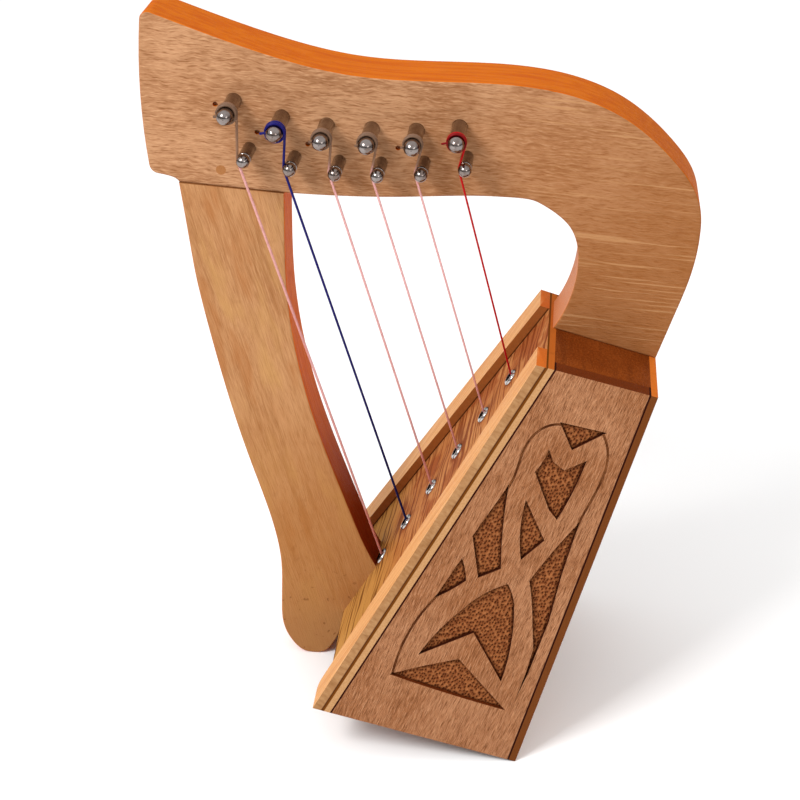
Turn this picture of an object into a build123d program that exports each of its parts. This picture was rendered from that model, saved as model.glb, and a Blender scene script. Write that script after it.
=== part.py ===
from build123d import *
import os
from math import asin, atan2, cos, hypot, pi, radians, sin, tan

# A six-string lap harp, standing on the toe of its pillar and the back edge of its soundbox.
# X runs from the pillar to the box, Y from the string side to the far side, and Z up.
# The origin is on the ground, in the middle of the harp's outline. Sizes are in millimetres.

# Neck and pillar: two boards in the XZ plane
HALF_LENGTH = 87.75
NECK_FRONT = 1.2
NECK_THICK = 21.8
PILLAR_FRONT = 0.5
PILLAR_THICK = 17.0
WOOD_EDGE = 0.6

# Soundbox, in its own frame: s up the soundboard, y across it, n out of it
BOARD_ANGLE = 59.2
BOARD_LENGTH = 131.5
BOARD_START = (-25.55, 18.5)
HALF_WIDTH_LOW = 58.3
HALF_WIDTH_HIGH = 29.1
DEPTH_LOW = 61.5
DEPTH_HIGH = 32.8
LOW_TILT = 14.5
HIGH_TILT = 15.5
BOARD_THICK = 2.5
PANEL_THICK = 5.5
BACK_THICK = 2.2
RAIL_WIDTH = 13.1
RAIL_THICK = 3.1
RAIL_CORNER = 3.0
LINING = 5.0
LOW_BLOCK = 9.0
HIGH_BLOCK = 18.0
RIB_WIDTH = 14.0
RIB_THICK = 3.0
CARVE_DEPTH = 2.0
GROOVE_WIDTH = 0.8
GROOVE_DEPTH = 0.5
ACCESS_HOLES = [(32.0, 14.0), (68.0, 12.0), (99.0, 10.0)]

# Strings and their hardware
STRINGS = 6
STRING_DIAMETERS = [0.86, 0.82, 0.78, 0.74, 0.70, 0.66]
FIRST_STRING = 25.8
STRING_PITCH = 16.62
STRING_ROW_Y = 2.4
TURNS = 3
KNOT_RADIUS = 1.6
TAIL_REACH = 6.2

TUNING_PINS = [
    (-58.3, 203.6), (-43.4, 198.8), (-29.4, 196.7), (-15.4, 196.0), (-1.5, 196.0), (11.8, 197.6),
]
PIN_RADIUS = 2.5
PIN_BACK_RADIUS = 2.75
PIN_REACH = 16.6
PIN_BEHIND = 17.0
PIN_DRIVE = 3.8
DRIVE_LENGTH = 13.0
PIN_CLEARANCE = 0.04
PIN_HOLE_RADIUS = 0.6
PIN_HOLE_REACH = 15.2

BRIDGE_PINS = [
    (-53.9, 188.3), (-39.6, 186.1), (-25.6, 185.2), (-12.5, 185.1), (0.9, 185.9), (14.3, 188.0),
]
BRIDGE_RADIUS = 2.1
BRIDGE_REACH = 12.3
BRIDGE_DEPTH = 12.0
GROOVE_REACH = 10.6
GROOVE_RADIUS = 0.55

GROMMET_BORE = 1.3
LIP_RADIUS = 0.85
BARREL_RADIUS = 2.0

# Small pieces that hold the wood together
PLUG = (-63.2, 180.8)
PLUG_RADIUS = 1.6
PLUG_DEPTH = 4.0
PILOT_HOLES = [(-64.2, 202.3), (-51.3, 193.7), (-35.4, 190.4), (-7.2, 190.2)]
PILOT_RADIUS = 0.8
PILOT_DEPTH = 1.5
JOINT_DOWEL_RADIUS = 3.0
JOINT_DOWEL_HALF = 10.0
JOINT_DOWELS = [(-67.0, 175.6), (-52.0, 174.5)]
FOOT_DOWEL_RADIUS = 4.0
FOOT_DOWEL_HALF = 14.0
FOOT_DOWELS = [-11.0, -25.0]
SCREW_RADIUS = 1.75
SCREW_HEAD_RADIUS = 3.4
SCREW_REACH = 13.0
SCREW_S = 16.5
SCREW_YS = [4.5, 13.5]
PILLAR_BLOCK_END = 22.0
PILLAR_BLOCK_DEPTH = 16.0

# Frames: the XZ plane seen from the string side, and the soundboard's two
UP_BOARD = (cos(radians(BOARD_ANGLE)), 0, sin(radians(BOARD_ANGLE)))
OUT_OF_BOARD = (-UP_BOARD[2], 0, UP_BOARD[0])
BOARD = Plane(origin=(BOARD_START[0], 0, BOARD_START[1]), x_dir=UP_BOARD, z_dir=OUT_OF_BOARD)
SIDE = Plane(origin=BOARD.origin, x_dir=UP_BOARD, z_dir=(0, -1, 0))
FAR = 200.0


def from_side(s, n):
    """The XZ point at s up the soundboard and n out of it."""
    x = BOARD_START[0] + s * UP_BOARD[0] + n * OUT_OF_BOARD[0]
    z = BOARD_START[1] + s * UP_BOARD[2] + n * OUT_OF_BOARD[2]
    return (x, z)


def end_point(n, high):
    """The (s, n) point on the box's low or high end plane."""
    if high:
        return (BOARD_LENGTH - n * tan(radians(HIGH_TILT)), n)
    return (-n * tan(radians(LOW_TILT)), n)


BACK_LOW = end_point(-DEPTH_LOW, False)
BACK_HIGH = end_point(-DEPTH_HIGH, True)
BACK_SLOPE = (BACK_HIGH[1] - BACK_LOW[1]) / (BACK_HIGH[0] - BACK_LOW[0])
BACK_COS = 1 / hypot(1, BACK_SLOPE)


def back_n(s, proud=0.0):
    """How deep the box is at s, on the back panel's inner face moved outward by proud."""
    return BACK_LOW[1] + BACK_SLOPE * (s - BACK_LOW[0]) - proud / BACK_COS


def back_point(high, proud=0.0, inward=0.0):
    """The (s, n) point where that face meets the low or high end plane, moved inward along s."""
    start, tilt = (BOARD_LENGTH - inward, HIGH_TILT) if high else (inward, LOW_TILT)
    slope = tan(radians(tilt))
    n = back_n(start, proud) / (1 + BACK_SLOPE * slope)
    return (start - n * slope, n)


# Outlines of the box's parts: plans in (s, y) and side views in (s, n)
SPLAY = atan2(HALF_WIDTH_LOW - HALF_WIDTH_HIGH, BOARD_LENGTH)
PLAN_ENDS = (-30.0, 170.0)


def edge_y(s, inset):
    """Half the box's width at s, less a wall that is inset thick."""
    return HALF_WIDTH_LOW - s * tan(SPLAY) - inset / cos(SPLAY)


def full_plan(inset):
    low, high = PLAN_ENDS
    y_low, y_high = edge_y(low, inset), edge_y(high, inset)
    return [(low, -y_low), (high, -y_high), (high, y_high), (low, y_low)]


def strip_plan(outer, inner):
    """A strip along the near side, from one inset to another."""
    low, high = PLAN_ENDS
    outside = [(low, -edge_y(low, outer)), (high, -edge_y(high, outer))]
    inside = [(high, -edge_y(high, inner)), (low, -edge_y(low, inner))]
    return outside + inside


def slab(top, bottom):
    """A layer parallel to the soundboard, from end to end."""
    upper = [end_point(top, False), end_point(top, True)]
    lower = [end_point(bottom, True), end_point(bottom, False)]
    return upper + lower


def full_side(front):
    return [end_point(front, False), end_point(front, True), back_point(True), back_point(False)]


def box_piece(plan, side):
    """Inside a part: the block that has this plan and this side view."""
    with BuildSketch(BOARD.offset(-FAR)) as seen_from_front:
        Polygon(*plan, align=None)
    extrude(seen_from_front.sketch, amount=2 * FAR)
    with BuildSketch(SIDE) as seen_from_side:
        Polygon(*side, align=None)
    extrude(seen_from_side.sketch, amount=FAR, both=True, mode=Mode.INTERSECT)


def bar(start, end, radius, mode=Mode.ADD):
    """Inside a part: a round bar between two points."""
    run = Vector(*end) - Vector(*start)
    with BuildSketch(Plane(origin=start, z_dir=run)) as section:
        Circle(radius)
    extrude(section.sketch, amount=run.length, mode=mode)


def finish(part, name):
    part.label = name
    export_step(part, f"parts/{name}.step")


def mirrored(near, name):
    """The far twin of a near piece."""
    with BuildPart() as twin:
        mirror(near.part, about=Plane.XZ)
    finish(twin.part, name)


os.makedirs("parts", exist_ok=True)

# Dowels across the two glued joints of the frame
JOINT_LEFT = (-76.8, 176.2)
JOINT_RIGHT = (-43.2, 173.9)
joint_run = (Vector(*JOINT_RIGHT) - Vector(*JOINT_LEFT)).normalized()
joint_across = (-joint_run.Y * JOINT_DOWEL_HALF, joint_run.X * JOINT_DOWEL_HALF)
joint_y = PILLAR_FRONT + PILLAR_THICK / 2
foot_y = NECK_FRONT + NECK_THICK / 2

joint_bars = []
for x, z in JOINT_DOWELS:
    low = (x - joint_across[0], joint_y, z - joint_across[1])
    high = (x + joint_across[0], joint_y, z + joint_across[1])
    joint_bars.append((low, high, JOINT_DOWEL_RADIUS))

foot_bars = []
for depth in FOOT_DOWELS:
    s, n = end_point(depth, True)
    rise = FOOT_DOWEL_HALF * cos(radians(HIGH_TILT))
    lean = FOOT_DOWEL_HALF * sin(radians(HIGH_TILT))
    low = from_side(s - rise, n - lean)
    high = from_side(s + rise, n + lean)
    foot_bars.append(((low[0], foot_y, low[1]), (high[0], foot_y, high[1]), FOOT_DOWEL_RADIUS))

for bars, name in ((joint_bars, "neck_pillar_dowels"), (foot_bars, "neck_foot_dowels")):
    with BuildPart() as dowels:
        for start, end, radius in bars:
            bar(start, end, radius)
    finish(dowels.part, name)

# Screws that hold the pillar, from inside the box
screw_lines = []
for y in SCREW_YS:
    head = from_side(SCREW_S, -PILLAR_BLOCK_DEPTH)
    tip = from_side(SCREW_S, SCREW_REACH)
    screw_lines.append(((head[0], y, head[1]), (tip[0], y, tip[1])))


def screw_shape(mode):
    """Inside a part: both pillar screws, each a shank with a countersunk head."""
    sink = SCREW_HEAD_RADIUS - SCREW_RADIUS
    for start, end in screw_lines:
        bar(start, end, SCREW_RADIUS, mode)
        with BuildSketch(Plane(origin=start, z_dir=OUT_OF_BOARD)) as head:
            Circle(SCREW_HEAD_RADIUS)
        extrude(head.sketch, amount=sink, taper=45, mode=mode)


with BuildPart() as pillar_screws:
    screw_shape(Mode.ADD)
    for start, end in screw_lines:
        with BuildSketch(Plane(origin=start, x_dir=(0, 1, 0), z_dir=OUT_OF_BOARD)):
            Rectangle(4.2, 0.9)
            Rectangle(0.9, 4.2)
        extrude(amount=1.2, mode=Mode.SUBTRACT)
finish(pillar_screws.part, "pillar_screws")

# Neck
NECK_TOP_LEFT = (-86.3, 231.7)
NECK_LOW_LEFT = (-85.9, 179.3)
NECK_RIGHTMOST = (HALF_LENGTH, 167.5)
foot_back = from_side(*back_point(True, BACK_THICK))
foot_front = from_side(*end_point(-1.4, True))
back_dir = (Vector(*from_side(*BACK_LOW)) - Vector(*from_side(*BACK_HIGH))).normalized()
foot_bend = (foot_back[0] - back_dir.X * 22, foot_back[1] - back_dir.Y * 22)

plug_face = (PLUG[0], NECK_FRONT, PLUG[1])
plug_end = (PLUG[0], NECK_FRONT + PLUG_DEPTH, PLUG[1])

with BuildPart() as neck:
    with BuildSketch(Plane.XZ.offset(-NECK_FRONT - NECK_THICK)):
        with BuildLine():
            ThreePointArc(NECK_LOW_LEFT, (-HALF_LENGTH, 205.5), NECK_TOP_LEFT)
            Spline(
                NECK_TOP_LEFT, (-52.6, 220.1), (-22.0, 213.0), (10.0, 211.9), (39.0, 210.2),
                (62.3, 202.1), (79.3, 187.6), NECK_RIGHTMOST,
                tangents=((1, -0.36), (0, -1)),
            )
            Spline(
                NECK_RIGHTMOST, (86.6, 155.0), foot_bend,
                tangents=((0, -1), (back_dir.X, back_dir.Y)),
            )
            Line(foot_bend, foot_back)
            Line(foot_back, foot_front)
            Spline(
                foot_front, (47.4, 139.5), (50.1, 154.0), (46.9, 166.2), (38.5, 172.9), (24.0, 175.2),
                tangents=((0.6, 0.9), (-1, 0.02)),
            )
            Spline((24.0, 175.2), (-6.0, 173.9), JOINT_RIGHT, tangents=((-1, 0.02), (-1, 0.04)))
            Line(JOINT_RIGHT, JOINT_LEFT)
            Spline(JOINT_LEFT, (-79.6, 178.0), NECK_LOW_LEFT, tangents=((-0.5, 0.85), (-1, 0.3)))
        make_face()
        fillet(vertices().sort_by(Axis.Y)[-1], 2.6)
        fillet(vertices().sort_by_distance(Vector(*NECK_LOW_LEFT, 0))[0], 3.2)
    extrude(amount=NECK_THICK)
    for face in (faces().sort_by(Axis.Y)[0], faces().sort_by(Axis.Y)[-1]):
        fillet(face.edges(), WOOD_EDGE)
    for x, z in TUNING_PINS:
        with BuildSketch(Plane.XZ.offset(-NECK_FRONT)):
            with Locations((x, z)):
                Circle(PIN_RADIUS + PIN_CLEARANCE)
        with BuildSketch(Plane.XZ.offset(-NECK_FRONT - NECK_THICK)):
            with Locations((x, z)):
                Circle(PIN_BACK_RADIUS + PIN_CLEARANCE)
        loft(mode=Mode.SUBTRACT)
    for x, z in BRIDGE_PINS:
        bar((x, NECK_FRONT, z), (x, NECK_FRONT + BRIDGE_DEPTH, z), BRIDGE_RADIUS, Mode.SUBTRACT)
    for x, z in PILOT_HOLES:
        bar((x, NECK_FRONT, z), (x, NECK_FRONT + PILOT_DEPTH, z), PILOT_RADIUS, Mode.SUBTRACT)
    bar(plug_face, plug_end, PLUG_RADIUS, Mode.SUBTRACT)
    for start, end, radius in joint_bars + foot_bars:
        bar(start, end, radius, Mode.SUBTRACT)
finish(neck.part, "neck")

with BuildPart() as neck_plug:
    bar(plug_face, plug_end, PLUG_RADIUS)
finish(neck_plug.part, "neck_plug")

# Pillar, with its toe below the soundboard's low end
CONTACT_TOP = from_side(22.4, 0)
CONTACT_LOW = from_side(0, 0)
TOE = (-36.6, 0.0)
TOE_LEFT = (-47.7, 17.0)

with BuildPart() as pillar:
    with BuildSketch(Plane.XZ.offset(-PILLAR_FRONT - PILLAR_THICK)):
        with BuildLine():
            Line(JOINT_LEFT, JOINT_RIGHT)
            Spline(
                JOINT_RIGHT, (-42.9, 139.0), (-35.4, 96.0), (-22.0, 56.2), CONTACT_TOP,
                tangents=((0, -1), (0.5, -0.86)),
            )
            Line(CONTACT_TOP, CONTACT_LOW)
            Spline(CONTACT_LOW, (-26.7, 10.6), (-30.2, 3.4), TOE, tangents=((-0.05, -1), (-1, 0)))
            Spline(TOE, (-43.9, 4.2), TOE_LEFT, tangents=((-1, 0), (0, 1)))
            Spline(
                TOE_LEFT, (-47.5, 38.0), (-49.8, 52.1), (-56.6, 75.4), (-65.6, 109.1),
                (-72.3, 141.3), JOINT_LEFT,
                tangents=((0, 1), (-0.13, 1)),
            )
        make_face()
    extrude(amount=PILLAR_THICK)
    for face in (faces().sort_by(Axis.Y)[0], faces().sort_by(Axis.Y)[-1]):
        fillet(face.edges().filter_by(GeomType.BSPLINE), WOOD_EDGE)
    for start, end, radius in joint_bars:
        bar(start, end, radius, Mode.SUBTRACT)
    screw_shape(Mode.SUBTRACT)
finish(pillar.part, "pillar")

# Soundboard, rails and rib
row = [(FIRST_STRING + i * STRING_PITCH, STRING_ROW_Y) for i in range(STRINGS)]


def drill_row():
    """Inside a part: the grommets' holes through everything under the soundboard's face."""
    with BuildSketch(BOARD) as holes:
        with Locations(*row):
            Circle(BARREL_RADIUS)
    extrude(holes.sketch, amount=-BOARD_THICK - RIB_THICK, mode=Mode.SUBTRACT)


with BuildPart() as soundboard:
    box_piece(full_plan(0), slab(0, -BOARD_THICK))
    drill_row()
    screw_shape(Mode.SUBTRACT)
finish(soundboard.part, "soundboard")

with BuildPart() as rail_near:
    box_piece(strip_plan(0, RAIL_WIDTH), slab(RAIL_THICK, 0))
    low_face = faces().sort_by(Axis(BOARD.origin, UP_BOARD))[0]
    fillet(low_face.edges().sort_by(Axis.Y)[-1], RAIL_CORNER)
finish(rail_near.part, "rail_near")
mirrored(rail_near, "rail_far")

rib_low = (PILLAR_BLOCK_END, -BOARD_THICK)
with BuildPart() as string_rib:
    rib_high = end_point(-BOARD_THICK, True)[0] - HIGH_BLOCK
    rib_bottom = -BOARD_THICK - RIB_THICK
    half = RIB_WIDTH / 2
    rib_plan = [(-FAR, STRING_ROW_Y - half), (FAR, STRING_ROW_Y - half), (FAR, STRING_ROW_Y + half)]
    rib_plan.append((-FAR, STRING_ROW_Y + half))
    rib_side = [rib_low, (rib_high, -BOARD_THICK), (rib_high, rib_bottom), (rib_low[0], rib_bottom)]
    box_piece(rib_plan, rib_side)
    drill_row()
finish(string_rib.part, "string_rib")

# Side panels, with a knot carved between two incised lines.
# Each hollow is a loop of (p, n, bulge): p up the panel's low edge, bulge the height of the arc
# that leads to the next point, 0 for a straight side.
HOLLOWS = [
    [(122.2, -13.1, 0), (126.8, -27.6, 0), (116.4, -21.3, 0)],
    [
        (113.1, -14.9, 0.5), (104.5, -15.2, 0), (96.1, -25.8, 0), (94.6, -29.8, -0.6), (115.9, -27.2, 0),
        (109.6, -22.8, 0), (110.2, -18.4, 0),
    ],
    [(95.2, -17.8, 0), (86.7, -30.2, 0), (77.3, -27.3, 1.0)],
    [(96.8, -10.5, 0), (76.3, -9.8, 0), (65.2, -18.9, 0), (71.5, -23.5, 0.6)],
    [(68.3, -10.9, 0.3), (62.4, -16.1, 0.3), (52.2, -10.6, 0)],
    [
        (68.3, -28.1, 0.4), (63.3, -33.7, 1.2), (38.5, -44.4, 0), (48.4, -27.7, 0),
        (32.7, -16.4, 0.8), (53.7, -20.4, 1.0),
    ],
    [(22.2, -11.9, 0.3), (38.3, -28.5, 0), (30.7, -50.9, 0.4)],
    [
        (97.8, -36.4, -0.4), (72.8, -33.4, 0.3), (60.2, -42.6, 0), (53.9, -47.0, 0.5),
        (32.4, -52.2, 0), (45.4, -50.4, 0), (64.1, -46.4, 0), (80.1, -41.1, 0),
    ],
]
INCISED = [
    [(22.7, -12.8), (38.8, -9.7), (53.6, -11.0)],
    [(95.4, -10.8), (104.4, -9.4), (111.6, -8.1), (116.9, -9.2), (122.1, -14.6)],
    [(126.0, -26.6), (118.4, -33.1), (107.4, -35.4), (96.4, -36.5)],
]
panel_along = (UP_BOARD[0] * cos(SPLAY), sin(SPLAY), UP_BOARD[2] * cos(SPLAY))
panel_out = (UP_BOARD[0] * sin(SPLAY), -cos(SPLAY), UP_BOARD[2] * sin(SPLAY))
panel_start = BOARD.from_local_coords((0, -HALF_WIDTH_LOW, 0))
NEAR_FACE = Plane(origin=panel_start, x_dir=panel_along, z_dir=panel_out)


def loop_edges(corners):
    """Inside a line: the hollow's sides, straight or bulging outward."""
    for here, there in zip(corners, corners[1:] + corners[:1]):
        if here[2]:
            SagittaArc(here[:2], there[:2], here[2])
        else:
            Line(here[:2], there[:2])


with BuildPart() as side_panel_near:
    box_piece(strip_plan(0, PANEL_THICK), full_side(-BOARD_THICK))
    for corners in HOLLOWS:
        with BuildSketch(NEAR_FACE.offset(-CARVE_DEPTH)):
            with BuildLine():
                loop_edges(corners)
            make_face()
        extrude(amount=CARVE_DEPTH + 1, mode=Mode.SUBTRACT)
    for points in INCISED:
        with BuildSketch(NEAR_FACE.offset(-GROOVE_DEPTH)):
            with BuildLine() as cut:
                Spline(*points)
            trace(cut.line, line_width=GROOVE_WIDTH)
        extrude(amount=GROOVE_DEPTH + 1, mode=Mode.SUBTRACT)
finish(side_panel_near.part, "side_panel_near")
mirrored(side_panel_near, "side_panel_far")

# Back panel, with three round holes to reach the knots through
back_along = Vector(*from_side(*BACK_HIGH)) - Vector(*from_side(*BACK_LOW))
back_x = (back_along.normalized().X, 0, back_along.normalized().Y)
back_out = (back_x[2], 0, -back_x[0])
back_start = from_side(*BACK_LOW)
BACK_FACE = Plane(origin=(back_start[0], 0, back_start[1]), x_dir=back_x, z_dir=back_out)

with BuildPart() as back_panel:
    back_side = [back_point(False), back_point(True), back_point(True, BACK_THICK)]
    back_side.append(back_point(False, BACK_THICK))
    box_piece(full_plan(0), back_side)
    for along, radius in ACCESS_HOLES:
        with BuildSketch(BACK_FACE):
            with Locations((along, 0)):
                Circle(radius)
        extrude(amount=BACK_THICK + 1, mode=Mode.SUBTRACT)
        rim_centre = BACK_FACE.from_local_coords((along, 0, BACK_THICK))
        fillet(edges().filter_by(GeomType.CIRCLE).sort_by_distance(rim_centre)[0], 0.5)
finish(back_panel.part, "back_panel")

# Blocks that close the two ends, and the one that backs the pillar
with BuildPart() as top_block:
    front = end_point(-BOARD_THICK, True)
    back = back_point(True)
    inner_back = back_point(True, inward=HIGH_BLOCK)
    block_side = [front, back, inner_back, (front[0] - HIGH_BLOCK, front[1])]
    box_piece(full_plan(PANEL_THICK), block_side)
    for start, end, radius in foot_bars:
        bar(start, end, radius, Mode.SUBTRACT)
finish(top_block.part, "top_block")

with BuildPart() as bottom_block:
    front = end_point(-BOARD_THICK, False)
    back = back_point(False)
    inner_back = back_point(False, inward=LOW_BLOCK)
    block_side = [front, (front[0] + LOW_BLOCK, front[1]), inner_back, back]
    box_piece(full_plan(PANEL_THICK), block_side)
finish(bottom_block.part, "bottom_block")

with BuildPart() as pillar_block:
    depth = -PILLAR_BLOCK_DEPTH
    start_front = end_point(-BOARD_THICK, False)[0] + LOW_BLOCK
    start_back = end_point(depth, False)[0] + LOW_BLOCK
    block_side = [(start_front, -BOARD_THICK), (PILLAR_BLOCK_END, -BOARD_THICK)]
    block_side += [(PILLAR_BLOCK_END, depth), (start_back, depth)]
    width = PILLAR_THICK + 17
    block_plan = [(-FAR, joint_y - width / 2), (FAR, joint_y - width / 2)]
    block_plan += [(FAR, joint_y + width / 2), (-FAR, joint_y + width / 2)]
    box_piece(block_plan, block_side)
    screw_shape(Mode.SUBTRACT)
finish(pillar_block.part, "pillar_block")

# Linings in the four long corners, between the end blocks
front_low = start_front + 2.0
front_high = rib_high - 0.5
under_board = -BOARD_THICK - LINING
front_lining = [(front_low, -BOARD_THICK), (front_high, -BOARD_THICK)]
front_lining += [(front_high, under_board), (front_low, under_board)]
back_low = back_point(False, inward=LOW_BLOCK)[0] + 1.0
back_high = back_point(True, inward=HIGH_BLOCK)[0] - 3.0
lift = LINING / BACK_COS
back_lining = [(back_low, back_n(back_low)), (back_high, back_n(back_high))]
back_lining += [(back_high, back_n(back_high) + lift), (back_low, back_n(back_low) + lift)]
for place, outline in (("front", front_lining), ("back", back_lining)):
    with BuildPart() as lining:
        box_piece(strip_plan(PANEL_THICK, PANEL_THICK + LINING), outline)
    finish(lining.part, f"lining_{place}_near")
    mirrored(lining, f"lining_{place}_far")

# Grommets: a rounded lip on the soundboard and a barrel through board and rib
for i, (s, y) in enumerate(row):
    centre = BOARD.from_local_coords((s, y, 0))
    barrel = BOARD_THICK + RIB_THICK
    lip_centre = GROMMET_BORE + LIP_RADIUS
    lip_edge = lip_centre + LIP_RADIUS
    with BuildPart() as grommet:
        with BuildSketch(Plane(origin=centre, x_dir=(0, 1, 0), z_dir=UP_BOARD)):
            with BuildLine():
                Polyline(
                    (GROMMET_BORE, 0), (GROMMET_BORE, -barrel), (BARREL_RADIUS, -barrel),
                    (BARREL_RADIUS, 0), (lip_edge, 0),
                )
                ThreePointArc((lip_edge, 0), (lip_centre, LIP_RADIUS), (GROMMET_BORE, 0))
            make_face()
        revolve(axis=Axis(centre, OUT_OF_BOARD))
    finish(grommet.part, f"grommet_{i + 1}")

# Bridge pins: pressed into the neck, with a ring groove behind the domed end
for i, (x, z) in enumerate(BRIDGE_PINS):
    face = (x, NECK_FRONT, z)
    tip = BRIDGE_REACH + BRIDGE_RADIUS
    with BuildPart() as bridge_pin:
        with BuildSketch(Plane(origin=face, x_dir=(1, 0, 0), z_dir=(0, 0, -1))):
            with BuildLine():
                Polyline(
                    (BRIDGE_RADIUS, BRIDGE_REACH), (BRIDGE_RADIUS, -BRIDGE_DEPTH),
                    (0, -BRIDGE_DEPTH), (0, tip),
                )
                RadiusArc((0, tip), (BRIDGE_RADIUS, BRIDGE_REACH), BRIDGE_RADIUS)
            make_face()
            with Locations((BRIDGE_RADIUS, GROOVE_REACH)):
                Circle(GROOVE_RADIUS, mode=Mode.SUBTRACT)
        revolve(axis=Axis(face, (0, -1, 0)))
    finish(bridge_pin.part, f"bridge_pin_{i + 1}")

# Tuning pins: a taper through the neck, a domed end with a string hole, a square drive behind
for i, (x, z) in enumerate(TUNING_PINS):
    face = (x, NECK_FRONT, z)
    behind = -NECK_THICK - PIN_BEHIND
    shoulder = behind + DRIVE_LENGTH
    with BuildPart() as tuning_pin:
        with BuildSketch(Plane(origin=face, x_dir=(1, 0, 0), z_dir=(0, 0, -1))):
            with BuildLine():
                Polyline(
                    (PIN_RADIUS, PIN_REACH), (PIN_RADIUS, 0), (PIN_BACK_RADIUS, -NECK_THICK),
                    (PIN_BACK_RADIUS, shoulder), (0, shoulder), (0, PIN_REACH + PIN_RADIUS),
                )
                RadiusArc((0, PIN_REACH + PIN_RADIUS), (PIN_RADIUS, PIN_REACH), PIN_RADIUS)
            make_face()
        revolve(axis=Axis(face, (0, -1, 0)))
        with BuildSketch(Plane.XZ.offset(-NECK_FRONT + shoulder)):
            with Locations((x, z)):
                RectangleRounded(PIN_DRIVE, PIN_DRIVE, 0.4)
        extrude(amount=-DRIVE_LENGTH)
        chamfer(faces().sort_by(Axis.Y)[-1].edges(), 0.4)
        hole_y = NECK_FRONT - PIN_HOLE_REACH
        bar((x - 4, hole_y, z), (x + 4, hole_y, z), PIN_HOLE_RADIUS, Mode.SUBTRACT)
    finish(tuning_pin.part, f"tuning_pin_{i + 1}")


# Strings: knot, grommet's lip, bridge pin's groove, tuning pin
def tangent_line(start, end):
    """The line that touches two circles (x, z, radius), with the radius positive where the centre
    is to the left of the way up the string. Returns its direction and its two touching points."""
    run_x, run_z = end[0] - start[0], end[1] - start[1]
    angle = atan2(run_z, run_x) - asin((end[2] - start[2]) / hypot(run_x, run_z))
    left = (-sin(angle), cos(angle))
    touches = [(c[0] - c[2] * left[0], c[1] - c[2] * left[1]) for c in (start, end)]
    return (cos(angle), sin(angle)), touches


def meeting(line_a, line_b):
    """Where two tangent lines cross."""
    (ax, az), ((px, pz), _) = line_a
    (bx, bz), ((qx, qz), _) = line_b
    t = ((qx - px) * bz - (qz - pz) * bx) / (ax * bz - az * bx)
    return (px + t * ax, pz + t * az)


GAP = 0.03
barrel_end = -BOARD_THICK - RIB_THICK
for i in range(STRINGS):
    diameter = STRING_DIAMETERS[i]
    radius = diameter / 2
    x, z = TUNING_PINS[i]
    hole_y = NECK_FRONT - PIN_HOLE_REACH
    coil_radius = PIN_RADIUS + radius + GAP
    turn_pitch = 0.94 * diameter
    turns_y = [hole_y + (turn + 0.9) * turn_pitch for turn in range(TURNS)]

    with BuildPart() as winding:
        for y in turns_y:
            with Locations(Location((x, y, z), (90, 0, 0))):
                Torus(coil_radius, radius)
        bar((x - TAIL_REACH, hole_y, z), (x + 1.5, hole_y, z), radius)
    finish(winding.part, f"string_winding_{i + 1}")

    s = row[i][0]
    knot_n = barrel_end - (KNOT_RADIUS**2 - GROMMET_BORE**2) ** 0.5 - GAP
    lip = from_side(s + GROMMET_BORE + LIP_RADIUS, 0)
    lip_turn = LIP_RADIUS + radius + 2 * GAP
    groove_turn = BRIDGE_RADIUS - GROOVE_RADIUS + radius + GAP
    wheels = [
        (*from_side(s, knot_n), 0.0),
        (*lip, -lip_turn),
        (*BRIDGE_PINS[i], -groove_turn),
        (x, z, coil_radius),
    ]
    runs = [tangent_line(a, b) for a, b in zip(wheels, wheels[1:])]
    lip_corner = meeting(runs[0], runs[1])
    groove_corner = meeting(runs[1], runs[2])
    end = runs[2][1][1]
    end_y = turns_y[-1] + diameter + 2 * GAP
    points = [
        (wheels[0][0], STRING_ROW_Y, wheels[0][1]),
        (lip_corner[0], STRING_ROW_Y, lip_corner[1]),
        (groove_corner[0], NECK_FRONT - GROOVE_REACH, groove_corner[1]),
        (end[0], end_y, end[1]),
    ]
    with BuildPart() as string:
        with BuildLine() as route:
            FilletPolyline(*points, radius=(lip_turn, groove_turn))
        with BuildSketch(Plane(origin=route.line @ 0, z_dir=route.line % 0)):
            Circle(radius)
        sweep(path=route.line)
        with Locations(points[0]):
            Sphere(KNOT_RADIUS)
    finish(string.part, f"string_{i + 1}")
    length = route.wires()[0].length
    section = pi * radius**2 * length
    print(f"string_{i + 1}: {length:.1f} mm, section x length {section:.1f}, solid {string.part.volume:.1f} mm3")
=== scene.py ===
import math

import bpy
import numpy as np
from mathutils import Matrix, Vector, noise


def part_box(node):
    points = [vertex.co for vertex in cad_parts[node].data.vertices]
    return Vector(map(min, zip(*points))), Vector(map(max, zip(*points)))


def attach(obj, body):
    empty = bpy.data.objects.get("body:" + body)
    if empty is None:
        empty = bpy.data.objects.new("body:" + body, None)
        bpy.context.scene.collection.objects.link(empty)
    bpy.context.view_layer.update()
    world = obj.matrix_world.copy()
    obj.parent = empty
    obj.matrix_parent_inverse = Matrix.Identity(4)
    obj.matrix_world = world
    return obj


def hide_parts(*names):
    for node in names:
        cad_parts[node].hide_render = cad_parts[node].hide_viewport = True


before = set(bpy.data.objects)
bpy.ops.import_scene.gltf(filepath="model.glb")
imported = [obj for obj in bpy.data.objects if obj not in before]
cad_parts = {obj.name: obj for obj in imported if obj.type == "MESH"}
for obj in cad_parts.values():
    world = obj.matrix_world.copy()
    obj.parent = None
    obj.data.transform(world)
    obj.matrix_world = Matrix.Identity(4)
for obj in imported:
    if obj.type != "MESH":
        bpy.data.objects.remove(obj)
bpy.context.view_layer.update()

MM = 0.001

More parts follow.
